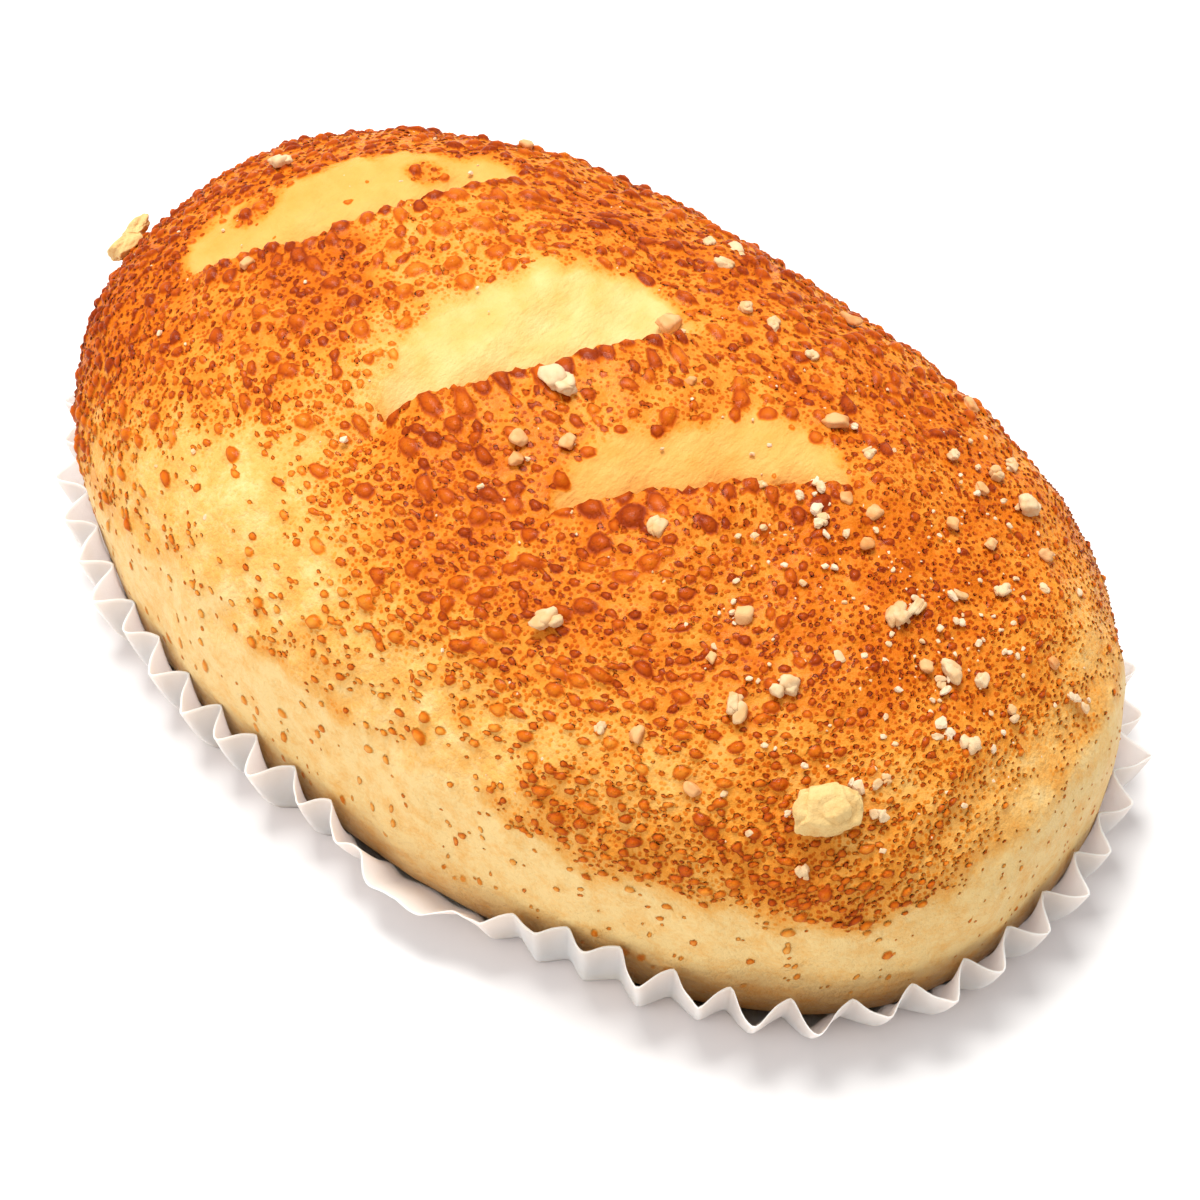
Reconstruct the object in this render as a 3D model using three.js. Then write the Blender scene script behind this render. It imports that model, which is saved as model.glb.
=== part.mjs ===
// A curry bun: one soft oval bun with three slashes, two large crumbs on its crust,
// and the pleated paper case that it was baked in. Millimetres, +Z up, table at z = 0.
import * as THREE from 'three';
import { mergeVertices } from 'three/addons/utils/BufferGeometryUtils.js';

// ---------- driving dimensions ----------

const bunLength = 140;
const bunWidth = 87;
const bunTop = 43.5;
const widestHeight = 14.7;
const planPower = 2.4; // 2 is an ellipse, more is squarer
const domePowerIn = 2.26; // how late the dome leaves its widest outline
const domePowerUp = 2.47; // how flat the dome is on top
const underTuck = 0.05; // how much smaller the resting face is than the widest outline

// slow waves round the widest outline, as shares of its radius
const outlineWaves = [
  { waves: 3, cosine: 0.0004, sine: 0.0053 },
  { waves: 4, cosine: 0.0051, sine: -0.0064 },
  { waves: 5, cosine: -0.0025, sine: -0.0028 },
];

// Each slash runs from its low end to its high end, seen from above. One lip bows out, sways
// towards one end and hangs over the scoop. The floor of the scoop rises to the other edge
// over the opening's width, and widening is the share that the opening gains by the high end.
const slashes = [
  {
    low: [-49.7, -14.6],
    high: [-28.1, 21.9],
    bow: 4.1,
    sway: -2.6,
    opening: 17.0,
    widening: -0.2,
    depth: 5.0,
    rise: 1.3,
    hang: 1.3,
  },
  {
    low: [-12.8, -18.5],
    high: [5.7, 13.9],
    bow: 2.8,
    sway: 0,
    opening: 19.0,
    widening: 0.2,
    depth: 5.6,
    rise: 1.7,
    hang: 1.6,
  },
  {
    low: [11.6, -17.6],
    high: [33.4, 9.1],
    bow: 0.8,
    sway: 0,
    opening: 14.0,
    widening: 0.2,
    depth: 4.6,
    rise: 1.6,
    hang: 1.4,
  },
];
const lipReach = 9; // how far the raised lip runs back into the crust
const hangReach = 2.2; // the part of the lip that leans over the scoop
const wallShare = 0.11; // share of the opening that the steep wall under the lip takes
const undercutShare = 0.4; // how far the wall is set back, as a share of the lip's lean
const floorBulge = 1.6; // more than 1 makes a scoop's floor bulge like risen dough
const edgeCalm = 0.88; // the slashes fade from this share of the widest outline outwards
const endFade = 5; // how far past a slash's ends its lip still shows

// shallow creases that run on from a slash's end down the side
const creases = [
  { from: [-12.8, -18.5], to: [-9.5, -33.0], width: 3.6, depth: 1.1 },
  { from: [-49.7, -14.6], to: [-46.0, -24.0], width: 3.4, depth: 0.8 },
];

const paperThickness = 0.3;
const paperWall = 0.45; // the wall's thickness measured level
const pieceGap = 0.35;
const pleatCount = 58;
const pleatSteps = 4; // columns to a pleat
const foldOffset = 0.95; // the inner folds, out from the bun's skirt
const tipOffset = 4.2; // the outer tips at the rim, out from the skirt
const foldHeight = 10.1;
const tipHeight = 9.3;
const pleatOpening = 1.2; // more than 1 lets the pleats open mostly near the rim
const footShare = 0.6; // depth of the pleats at the foot, as a share of that at the rim
const wallRings = [0, 0.27, 0.6, 1]; // shares of the wall's height

// places where the case stands out further, fits closer or is pressed flat, by direction round the bun
const flareOut = { direction: -24, spread: 13, out: 2.0 };
const tightFit = { direction: -54, spread: 12, depthLeft: 0.45, raise: 0.6 };
const pressedFlat = { direction: -69, spread: 12, depthLeft: 0.12, drop: 3.2, out: 3.4 };

// Large crumbs: place on the crust seen from above; length, width and height before the turn.
const largeCrumbs = [
  { name: 'crumb_front', at: [54.8, -20.6], size: [7.6, 5.9, 4.0], turn: 0.75, seed: 1.3 },
  { name: 'crumb_back', at: [-67.7, -7.6], size: [4.2, 7.4, 3.2], turn: 0.15, seed: 4.1 },
];

// mesh steps
const domeCellsX = 52;
const domeCellsY = 36;
const skirtRings = 3;
const clearlyLevel = 0.5; // the gain in level that turns a cell's diagonal
const shortestShare = 0.4; // the ends of a slash, where its lip is this low, keep the plain rows

// ---------- materials ----------

function matte(colour, roughness) {
  return new THREE.MeshStandardMaterial({ color: new THREE.Color(...colour), roughness, metalness: 0 });
}

const crustMaterial = matte([0.62, 0.27, 0.07], 0.45);
const crumbMaterial = matte([0.86, 0.74, 0.48], 0.8);
const paperMaterial = matte([0.8, 0.74, 0.72], 0.85);

// ---------- the bun's form ----------

const halfLength = bunLength / 2;
const halfWidth = bunWidth / 2;
const bunUnderside = paperThickness + pieceGap;

function smooth(value) {
  const t = Math.min(Math.max(value, 0), 1);
  return t * t * (3 - 2 * t);
}

function bell(distance, spread) {
  return Math.exp(-((distance / spread) ** 2));
}

// A point of the widest outline.
function outlinePoint(angle) {
  const c = Math.cos(angle);
  const s = Math.sin(angle);
  let radius = (Math.abs(c) ** planPower + Math.abs(s) ** planPower) ** (-1 / planPower);
  for (const wave of outlineWaves) {
    radius *= 1 + wave.cosine * Math.cos(wave.waves * angle) + wave.sine * Math.sin(wave.waves * angle);
  }
  return new THREE.Vector2(halfLength * c * radius, halfWidth * s * radius);
}

// Where the place (x, y) lies beside a slash: its share of the opening's full width there, how
// far it is past the slash's ends, and how far out from its lip.
function besideSlash(slash, x, y) {
  const low = new THREE.Vector2(...slash.low);
  const run = new THREE.Vector2(...slash.high).sub(low);
  const length = run.length();
  run.normalize();
  const across = new THREE.Vector2(-run.y, run.x);
  const offset = new THREE.Vector2(x, y).sub(low);
  const along = offset.dot(run) / length;
  const later = 2 * along - 1;
  const middle = Math.max(1 - later ** 2, 0);
  const share = middle ** 0.45;
  const beyondEnd = (Math.max(Math.abs(later), 1) - 1) * (length / 2);
  const fromLip = offset.dot(across) + (slash.bow + slash.sway * later) * middle;
  const opening = Math.max(slash.opening * share * (1 + slash.widening * later), 0.01);
  return { share, beyondEnd, fromLip, across, opening };
}

// How a slash moves the place (x, y): up or down, and level across the cut.
function slashMove(slash, x, y) {
  const { share, beyondEnd, fromLip, across, opening } = besideSlash(slash, x, y);
  const inside = Math.max(fromLip, 0) / opening;
  const wall = smooth(inside / wallShare);
  const lip = share * bell(beyondEnd, endFade) * (1 - wall);
  const floor = share * wall * Math.max(1 - inside, 0) ** floorBulge;
  const up = slash.rise * lip * bell(Math.min(fromLip, 0), lipReach) - slash.depth * floor;
  const over = slash.hang * bell(fromLip, hangReach) * (lip - undercutShare * floor);
  return new THREE.Vector3(across.x * over, across.y * over, up);
}

function creaseDrop(crease, x, y) {
  const from = new THREE.Vector2(...crease.from);
  const run = new THREE.Vector2(...crease.to).sub(from);
  const offset = new THREE.Vector2(x, y).sub(from);
  const along = offset.dot(run) / run.lengthSq();
  const nearest = run.clone().multiplyScalar(Math.min(Math.max(along, 0), 1));
  const fade = 1 - smooth(along);
  return -crease.depth * fade * bell(offset.distanceTo(nearest), crease.width);
}

// share runs from 0 at the top of the dome to 1 at the widest outline.
function domePlace(share, angle) {
  return outlinePoint(angle).multiplyScalar(Math.sin(share * (Math.PI / 2)) ** (2 / domePowerIn));
}

// The crust over the place (x, y).
function domePoint(x, y) {
  const edge = outlinePoint(Math.atan2(y / halfWidth, x / halfLength));
  const radius = Math.min(Math.hypot(x, y) / edge.length(), 1);
  const rise = (1 - radius ** domePowerIn) ** (1 / domePowerUp);
  const point = new THREE.Vector3(x, y, widestHeight + (bunTop - widestHeight) * rise);
  const move = new THREE.Vector3();
  for (const slash of slashes) {
    move.add(slashMove(slash, x, y));
  }
  for (const crease of creases) {
    move.z += creaseDrop(crease, x, y);
  }
  return point.add(move.multiplyScalar(1 - smooth((radius - edgeCalm) / (1 - edgeCalm))));
}

// The skirt's size at a height below the widest one, as a share of the widest outline.
function skirtSize(height) {
  const sine = Math.min((widestHeight - height) / (widestHeight - bunUnderside), 1);
  return 1 - underTuck * (1 - Math.sqrt(1 - sine ** 2));
}

// share runs from 0 at the widest outline to 1 at the resting face.
function skirtPoint(share, edge) {
  const height = widestHeight - (widestHeight - bunUnderside) * Math.sin(share * (Math.PI / 2));
  return new THREE.Vector3(edge.x * skirtSize(height), edge.y * skirtSize(height), height);
}

// ---------- mesh helpers ----------

class MeshMaker {
  constructor() {
    this.points = [];
    this.corners = [];
  }

  point(vector) {
    this.points.push(vector.x, vector.y, vector.z);
    return this.points.length / 3 - 1;
  }

  triangle(a, b, c) {
    this.corners.push(a, b, c);
  }

  quad(a, b, c, d) {
    this.triangle(a, b, c);
    this.triangle(a, c, d);
  }

  // A quad split along its more level diagonal, so that a lip's crest isn't cut across.
  levelQuad(a, b, c, d) {
    const drop = (from, to) => Math.abs(this.points[3 * from + 2] - this.points[3 * to + 2]);
    if (drop(b, d) + clearlyLevel < drop(a, c)) this.quad(b, c, d, a);
    else this.quad(a, b, c, d);
  }

  // two closed rings of points, both counter-clockwise seen from above
  band(lower, upper) {
    for (let i = 0; i < lower.length; i++) {
      const next = (i + 1) % lower.length;
      this.quad(lower[i], lower[next], upper[next], upper[i]);
    }
  }

  cap(ring, centre, facesUp) {
    for (let i = 0; i < ring.length; i++) {
      const next = (i + 1) % ring.length;
      const pair = facesUp ? [ring[i], ring[next]] : [ring[next], ring[i]];
      this.triangle(pair[0], pair[1], centre);
    }
  }

  geometry() {
    const geometry = new THREE.BufferGeometry();
    geometry.setAttribute('position', new THREE.Float32BufferAttribute(this.points, 3));
    geometry.setIndex(this.corners);
    return geometry;
  }
}

// Spreads a square evenly over a disc. a and b run from -1 to 1.
function squareToDisc(a, b) {
  if (a === 0 && b === 0) {
    return { share: 0, angle: 0 };
  }
  if (Math.abs(a) >= Math.abs(b)) {
    return { share: Math.abs(a), angle: (Math.PI / 4) * (b / a) + (a < 0 ? Math.PI : 0) };
  }
  return { share: Math.abs(b), angle: Math.PI / 2 - (Math.PI / 4) * (a / b) + (b < 0 ? Math.PI : 0) };
}

// ---------- bun ----------

// Moves the two places of a row that are nearest to a slash's lip onto its crest and its foot.
function alignToLip(row, slash) {
  for (let i = 0; i + 1 < row.length; i++) {
    const floorSide = besideSlash(slash, row[i].x, row[i].y);
    const lipSide = besideSlash(slash, row[i + 1].x, row[i + 1].y);
    const crosses = floorSide.fromLip > 0 && lipSide.fromLip <= 0;
    if (crosses && Math.min(floorSide.share, lipSide.share) > shortestShare) {
      const part = floorSide.fromLip / (floorSide.fromLip - lipSide.fromLip);
      const crest = row[i].clone().lerp(row[i + 1], part);
      const wall = floorSide.across.clone().multiplyScalar(wallShare * floorSide.opening);
      const crestIndex = part > 0.5 || i === 0 ? i + 1 : i;
      row[crestIndex].copy(crest);
      row[crestIndex - 1].copy(crest).add(wall);
      return;
    }
  }
}

// Places on the widest outline and inside it, in rows along the bun.
function domeRows() {
  const rows = [];
  for (let j = 0; j <= domeCellsY; j++) {
    const row = [];
    for (let i = 0; i <= domeCellsX; i++) {
      const { share, angle } = squareToDisc((2 * i) / domeCellsX - 1, (2 * j) / domeCellsY - 1);
      row.push(domePlace(share, angle));
    }
    slashes.forEach((slash) => alignToLip(row, slash));
    rows.push(row);
  }
  return rows;
}

function bunGeometry() {
  const maker = new MeshMaker();
  const rows = domeRows();
  const grid = rows.map((row) => row.map((place) => maker.point(domePoint(place.x, place.y))));
  for (let j = 0; j < domeCellsY; j++) {
    for (let i = 0; i < domeCellsX; i++) {
      maker.levelQuad(grid[j][i], grid[j][i + 1], grid[j + 1][i + 1], grid[j + 1][i]);
    }
  }
  const rim = [];
  for (let i = 0; i < domeCellsX; i++) rim.push([0, i]);
  for (let j = 0; j < domeCellsY; j++) rim.push([j, domeCellsX]);
  for (let i = domeCellsX; i > 0; i--) rim.push([domeCellsY, i]);
  for (let j = domeCellsY; j > 0; j--) rim.push([j, 0]);
  let upper = rim.map(([j, i]) => grid[j][i]);
  for (let k = 1; k <= skirtRings; k++) {
    const lower = rim.map(([j, i]) => maker.point(skirtPoint(k / skirtRings, rows[j][i])));
    maker.band(lower, upper);
    upper = lower;
  }
  maker.cap(upper, maker.point(new THREE.Vector3(0, 0, bunUnderside)), false);
  return maker.geometry();
}

// ---------- paper case ----------

// Angles that split the widest outline into stretches of equal length.
function evenAngles(count) {
  const samples = 2880;
  const lengths = [0];
  let last = outlinePoint(0);
  for (let i = 1; i <= samples; i++) {
    const next = outlinePoint((2 * Math.PI * i) / samples);
    lengths.push(lengths[i - 1] + next.distanceTo(last));
    last = next;
  }
  const angles = [];
  let i = 0;
  for (let k = 0; k < count; k++) {
    const target = (lengths[samples] * k) / count;
    while (lengths[i + 1] < target) i++;
    const part = (target - lengths[i]) / (lengths[i + 1] - lengths[i]);
    angles.push((2 * Math.PI * (i + part)) / samples);
  }
  return angles;
}

// A point that lies out from the bun's skirt by the given level distance.
function outsideSkirt(angle, distance, height) {
  const step = 0.001;
  const point = outlinePoint(angle).multiplyScalar(skirtSize(height));
  const run = outlinePoint(angle + step).sub(outlinePoint(angle - step)).normalize();
  return new THREE.Vector3(point.x + run.y * distance, point.y - run.x * distance, height);
}

function nearDirection(angle, place) {
  const point = outlinePoint(angle);
  const direction = Math.atan2(point.y, point.x) * (180 / Math.PI);
  return bell(direction - place.direction, place.spread);
}

// A point of the case's wall: climb runs from 0 at the foot to 1 at the rim. The wall follows
// the bun's skirt, and its pleats open towards the rim.
function casePoint(angle, pleat, climb, inward) {
  const whole = Math.floor(pleat);
  const uneven = 1 + 0.16 * Math.sin(2.4 * whole + 1) + 0.08 * Math.sin(5.1 * whole);
  const wave = 0.5 - 0.5 * Math.cos(2 * Math.PI * pleat);
  const flat = nearDirection(angle, pressedFlat);
  const tight = nearDirection(angle, tightFit);
  const flare = flareOut.out * nearDirection(angle, flareOut) + pressedFlat.out * flat;
  const depth = (tipOffset - foldOffset) * uneven * (1 - (1 - pressedFlat.depthLeft) * flat);
  const footDepth = footShare * depth;
  const rimDepth = depth * (1 - (1 - tightFit.depthLeft) * tight);
  const opening = climb ** pleatOpening;
  const stoodOut = (flare + (flat * (tipOffset - foldOffset)) / 2) * opening;
  const opened = stoodOut + (footDepth + (rimDepth - footDepth) * opening) * wave;
  const straightRim = foldHeight + (tipHeight - foldHeight) * wave;
  const rim = straightRim - pressedFlat.drop * flat + tightFit.raise * tight;
  const floor = inward > 0 ? paperThickness : 0;
  const distance = foldOffset + opened - inward;
  return outsideSkirt(angle, distance, floor + (rim - floor) * climb);
}

function caseGeometry() {
  const maker = new MeshMaker();
  const columns = pleatCount * pleatSteps;
  const angles = evenAngles(columns);
  const ring = (climb, inward) =>
    angles.map((angle, k) => maker.point(casePoint(angle, k / pleatSteps, climb, inward)));
  const outer = wallRings.map((climb) => ring(climb, 0));
  const inner = wallRings.map((climb) => ring(climb, paperWall)).reverse();
  const rings = [...outer, ...inner];
  for (let i = 0; i + 1 < rings.length; i++) {
    maker.band(rings[i], rings[i + 1]);
  }
  maker.cap(rings[0], maker.point(new THREE.Vector3(0, 0, 0)), false);
  maker.cap(rings[rings.length - 1], maker.point(new THREE.Vector3(0, 0, paperThickness)), true);
  return maker.geometry();
}

// ---------- large crumbs ----------

// The crust over a place, and the way that it faces.
function crustOver(x, y) {
  const step = 0.5;
  const alongX = domePoint(x + step, y).sub(domePoint(x - step, y));
  const alongY = domePoint(x, y + step).sub(domePoint(x, y - step));
  return { point: domePoint(x, y), normal: alongX.cross(alongY).normalize() };
}

// A lump with rounded facets and a flat underside.
function crumbGeometry(crumb) {
  const geometry = new THREE.IcosahedronGeometry(1, 2);
  geometry.deleteAttribute('normal');
  geometry.deleteAttribute('uv');
  const lump = mergeVertices(geometry);
  const positions = lump.getAttribute('position');
  for (let i = 0; i < positions.count; i++) {
    const corner = new THREE.Vector3().fromBufferAttribute(positions, i);
    const bumps = Math.sin(3.1 * corner.x + crumb.seed) + Math.sin(3.7 * corner.y + 2 * crumb.seed);
    corner.multiplyScalar(1 + 0.07 * (bumps + Math.sin(4.3 * corner.z + 3 * crumb.seed)));
    corner.z = Math.max(corner.z, -0.55 + 0.001 * (corner.x + corner.y));
    positions.setXYZ(i, corner.x, corner.y, corner.z);
  }
  const box = new THREE.Box3().setFromBufferAttribute(positions);
  const centre = box.getCenter(new THREE.Vector3());
  const size = box.getSize(new THREE.Vector3());
  lump.translate(-centre.x, -centre.y, -box.min.z);
  lump.scale(crumb.size[0] / size.x, crumb.size[1] / size.y, crumb.size[2] / size.z);
  return lump;
}

function placeCrumb(mesh, crumb) {
  const { point, normal } = crustOver(...crumb.at);
  const lean = new THREE.Quaternion().setFromUnitVectors(new THREE.Vector3(0, 0, 1), normal);
  const turn = new THREE.Quaternion().setFromAxisAngle(new THREE.Vector3(0, 0, 1), crumb.turn);
  mesh.quaternion.copy(lean.multiply(turn));
  mesh.position.copy(point.addScaledVector(normal, pieceGap));
}

// ---------- the whole ----------

function named(name, geometry, material) {
  const mesh = new THREE.Mesh(geometry, material);
  mesh.name = name;
  return mesh;
}

const curryBun = new THREE.Group();
curryBun.add(named('bun', bunGeometry(), crustMaterial));
curryBun.add(named('paper_case', caseGeometry(), paperMaterial));
for (const crumb of largeCrumbs) {
  const mesh = named(crumb.name, crumbGeometry(crumb), crumbMaterial);
  placeCrumb(mesh, crumb);
  curryBun.add(mesh);
}

// The origin lies under the middle of the whole, on the table.
curryBun.updateMatrixWorld(true);
const middle = new THREE.Box3().setFromObject(curryBun, true).getCenter(new THREE.Vector3());
curryBun.position.set(-middle.x, -middle.y, 0);
curryBun.updateMatrixWorld(true);

export default curryBun;
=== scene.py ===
# %% [markdown]
# # A curry bun in its paper case
# A soft filled bun, slashed three times and baked until its crust blisters. The CAD model holds
# its size and place. This notebook makes what is seen: a crust whose blisters are real bumps,
# satin dough in the slashes, crumbs, and thin pleated paper. Lengths are millimetres, and
# `to_mesh` turns them into Blender's metres.

# %% Load the frame
import math
from itertools import combinations

import bpy
import numpy as np
from mathutils import Matrix, Vector
from mathutils.geometry import delaunay_2d_cdt
from mathutils.kdtree import KDTree


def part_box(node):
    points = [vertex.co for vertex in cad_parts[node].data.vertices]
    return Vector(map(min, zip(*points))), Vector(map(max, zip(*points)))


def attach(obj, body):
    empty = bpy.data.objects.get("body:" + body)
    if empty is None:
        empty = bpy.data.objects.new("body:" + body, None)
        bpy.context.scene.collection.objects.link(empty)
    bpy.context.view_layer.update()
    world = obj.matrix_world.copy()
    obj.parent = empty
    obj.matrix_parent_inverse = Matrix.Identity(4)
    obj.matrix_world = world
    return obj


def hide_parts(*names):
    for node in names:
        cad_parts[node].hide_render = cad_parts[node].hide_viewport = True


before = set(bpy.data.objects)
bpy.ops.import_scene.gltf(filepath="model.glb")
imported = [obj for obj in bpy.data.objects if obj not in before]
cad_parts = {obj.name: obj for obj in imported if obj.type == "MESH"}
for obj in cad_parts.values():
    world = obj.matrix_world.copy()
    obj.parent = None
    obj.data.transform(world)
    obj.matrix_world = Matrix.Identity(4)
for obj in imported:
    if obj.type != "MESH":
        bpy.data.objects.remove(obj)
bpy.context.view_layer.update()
MM = 0.001
print("frame loaded with", sorted(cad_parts))

# %% [markdown]
# ## The form of the bun
# The bun is an oval dome over a short skirt that tucks in under it. An outline and two powers
# give its height anywhere, so the form is a formula that can be read at any fineness. The same
# sizes drive the CAD solid, and the box of that solid tells where the outline's middle is.

# %% Sizes of the bun
BUN_LENGTH = 140.0
BUN_WIDTH = 87.0
BUN_TOP = 43.5
WIDEST_HEIGHT = 14.7
UNDERSIDE = 0.65
PLAN_POWER = 2.4
DOME_POWER_IN = 2.26
DOME_POWER_UP = 2.47
UNDER_TUCK = 0.05
OUTLINE_WAVES = [(3, 0.0004, 0.0053), (4, 0.0051, -0.0064), (5, -0.0025, -0.0028)]
HALF_LENGTH = BUN_LENGTH / 2
HALF_WIDTH = BUN_WIDTH / 2


def smooth(value):
    t = np.clip(value, 0.0, 1.0)
    return t * t * (3 - 2 * t)


def bell(distance, spread):
    return np.exp(-((distance / spread) ** 2))


def outline(angle):
    """The widest outline of the bun, at any angle, as x and y."""
    c = np.cos(angle)
    s = np.sin(angle)
    radius = (np.abs(c) ** PLAN_POWER + np.abs(s) ** PLAN_POWER) ** (-1 / PLAN_POWER)
    for waves, cosine, sine in OUTLINE_WAVES:
        radius = radius * (1 + cosine * np.cos(waves * angle) + sine * np.sin(waves * angle))
    return HALF_LENGTH * c * radius, HALF_WIDTH * s * radius


full_turn = np.linspace(0, 2 * np.pi, 2881)[:-1]
outline_x, outline_y = outline(full_turn)
outline_middle = [(outline_x.min() + outline_x.max()) / 2, (outline_y.min() + outline_y.max()) / 2]
bun_low, bun_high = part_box("bun")
SHIFT_X = (bun_low.x + bun_high.x) / 2 / MM - outline_middle[0]
SHIFT_Y = (bun_low.y + bun_high.y) / 2 / MM - outline_middle[1]
print(f"the outline's middle lies at {SHIFT_X:.2f}, {SHIFT_Y:.2f} mm in the frame")

# %% [markdown]
# ## The slashes
# Each slash was cut with a blade before baking. One lip rose and leans over the cut, and the
# dough opened into a scoop that climbs gently to the other edge. A slash is given by its two
# ends, and every place on the crust is then measured along it and out from its lip.

# %% Slash measures
SLASHES = [
    {
        "low": (-49.7, -14.6),
        "high": (-28.1, 21.9),
        "bow": 4.1,
        "sway": -2.6,
        "opening": 17.0,
        "widening": -0.2,
        "depth": 5.0,
        "rise": 1.3,
        "hang": 1.3,
        "gold": 0.34,
        "ripple": {"size": 0.95, "waves": 10.5, "start": 4.73, "middle": -0.45, "reach": 0.42},
    },
    {
        "low": (-12.8, -18.5),
        "high": (5.7, 13.9),
        "bow": 2.8,
        "sway": 0.0,
        "opening": 19.0,
        "widening": 0.2,
        "depth": 5.6,
        "rise": 1.7,
        "hang": 1.6,
        "gold": 0.13,
        "ripple": {"size": 0.35, "waves": 12.0, "start": 1.0, "middle": -0.2, "reach": 0.9},
    },
    {
        "low": (11.6, -17.6),
        "high": (33.4, 9.1),
        "bow": 0.8,
        "sway": 0.0,
        "opening": 14.0,
        "widening": 0.2,
        "depth": 4.6,
        "rise": 1.6,
        "hang": 1.4,
        "gold": 0.33,
        "ripple": {"size": 0.35, "waves": 11.0, "start": 2.2, "middle": 0.1, "reach": 0.9},
    },
]
LIP_SWELL = 0.45  # less than 1 opens a slash quickly behind its ends
LIP_REACH = 9.0
HANG_REACH = 2.2
WALL_SHARE = 0.11
UNDERCUT_SHARE = 0.4
FLOOR_BULGE = 1.6
END_FADE = 5.0
EDGE_CALM = 0.88
CREASES = [
    {"from": (-12.8, -18.5), "to": (-9.5, -33.0), "width": 3.6, "depth": 1.1},
    {"from": (-49.7, -14.6), "to": (-46.0, -24.0), "width": 3.4, "depth": 0.8},
]


def lip_bow(slash, later):
    """How far a lip bows out from the straight line between its ends, at -1 to 1 along it."""
    ripple = slash["ripple"]
    wave = ripple["size"] * np.sin(ripple["waves"] * later + ripple["start"])
    local = wave * bell(later - ripple["middle"], ripple["reach"])
    scallops = 0.22 * np.sin(47 * later + ripple["start"]) + 0.16 * np.sin(83 * later)
    return (slash["bow"] + slash["sway"] * later + local + scallops) * np.maximum(1 - later**2, 0)


def beside(slash, x, y):
    """Where places lie beside a slash.

    Gives its share of the full opening there, the distance past its ends, the way across it,
    the distance out from its lip, and the width of the opening.
    """
    low = np.array(slash["low"])
    run = np.array(slash["high"]) - low
    length = np.hypot(*run)
    run = run / length
    later = 2 * ((x - low[0]) * run[0] + (y - low[1]) * run[1]) / length - 1
    share = np.maximum(1 - later**2, 0) ** LIP_SWELL
    beyond_end = (np.maximum(np.abs(later), 1) - 1) * length / 2
    from_lip = (y - low[1]) * run[0] - (x - low[0]) * run[1]
    from_lip = from_lip + lip_bow(slash, later)
    opening = np.maximum(slash["opening"] * share * (1 + slash["widening"] * later), 0.01)
    return share, beyond_end, (-run[1], run[0]), from_lip, opening


def slash_move(slash, x, y):
    """How a slash moves places: level along X and Y, and up."""
    share, beyond_end, across, from_lip, opening = beside(slash, x, y)
    inside = np.maximum(from_lip, 0) / opening
    wall = smooth(inside / WALL_SHARE)
    lip = share * bell(beyond_end, END_FADE) * (1 - wall)
    floor = share * wall * np.maximum(1 - inside, 0) ** FLOOR_BULGE
    up = slash["rise"] * lip * bell(np.minimum(from_lip, 0), LIP_REACH) - slash["depth"] * floor
    over = slash["hang"] * bell(from_lip, HANG_REACH) * (lip - UNDERCUT_SHARE * floor)
    return across[0] * over, across[1] * over, up


def crease_drop(crease, x, y):
    start = np.array(crease["from"])
    run = np.array(crease["to"]) - start
    along = ((x - start[0]) * run[0] + (y - start[1]) * run[1]) / (run @ run)
    nearest = np.clip(along, 0, 1)
    distance = np.hypot(x - start[0] - nearest * run[0], y - start[1] - nearest * run[1])
    return -crease["depth"] * (1 - smooth(along)) * bell(distance, crease["width"])


def plain_dome(x, y):
    """Height of the dome without its slashes, and how far out the place is, from 0 to 1."""
    edge_x, edge_y = outline(np.arctan2(y / HALF_WIDTH, x / HALF_LENGTH))
    out = np.minimum(np.hypot(x, y) / np.hypot(edge_x, edge_y), 1)
    rise = (1 - out**DOME_POWER_IN) ** (1 / DOME_POWER_UP)
    return WIDEST_HEIGHT + (BUN_TOP - WIDEST_HEIGHT) * rise, out


def slashed_dome(x, y):
    """Points of the crust over the places (x, y)."""
    z, out = plain_dome(x, y)
    calm = 1 - smooth((out - EDGE_CALM) / (1 - EDGE_CALM))
    move_x = np.zeros_like(z)
    move_y = np.zeros_like(z)
    move_z = np.zeros_like(z)
    for slash in SLASHES:
        dx, dy, dz = slash_move(slash, x, y)
        move_x += dx
        move_y += dy
        move_z += dz
    for crease in CREASES:
        move_z += crease_drop(crease, x, y)
    return np.stack([x + calm * move_x, y + calm * move_y, z + calm * move_z], -1)


middle_height = slashed_dome(np.array([0.0]), np.array([0.0]))[0, 2]
print(f"the crust over the middle is {middle_height:.1f} mm high")

# %% [markdown]
# ## A flat map of the crust
# Blisters are easier to scatter on a flat sheet than on a dome. So the crust is unrolled like a
# map: the top of the dome is the map's middle, and distances on the map are close to distances
# on the crust. The map goes on past the widest outline, down the skirt to the bottom edge.

# %% Map to crust
MAP_HALF_LENGTH = 81.0
MAP_HALF_WIDTH = 57.5
MAP_END = 1.24


def polar(u, v):
    """Share of the way out from the top, and angle, of places on the map."""
    a = u / MAP_HALF_LENGTH
    b = v / MAP_HALF_WIDTH
    return np.hypot(a, b), np.arctan2(b, a)


def plan_of(u, v):
    """The places seen from above."""
    share, angle = polar(u, v)
    edge_x, edge_y = outline(angle)
    out = np.sin(np.minimum(share, 1) * np.pi / 2) ** (2 / DOME_POWER_IN)
    return edge_x * out, edge_y * out


def map_of(x, y):
    """The map's places for places seen from above."""
    angle = np.arctan2(y / HALF_WIDTH, x / HALF_LENGTH)
    out = plain_dome(x, y)[1]
    share = np.arcsin(out ** (DOME_POWER_IN / 2)) / (np.pi / 2)
    return MAP_HALF_LENGTH * share * np.cos(angle), MAP_HALF_WIDTH * share * np.sin(angle)


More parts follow.
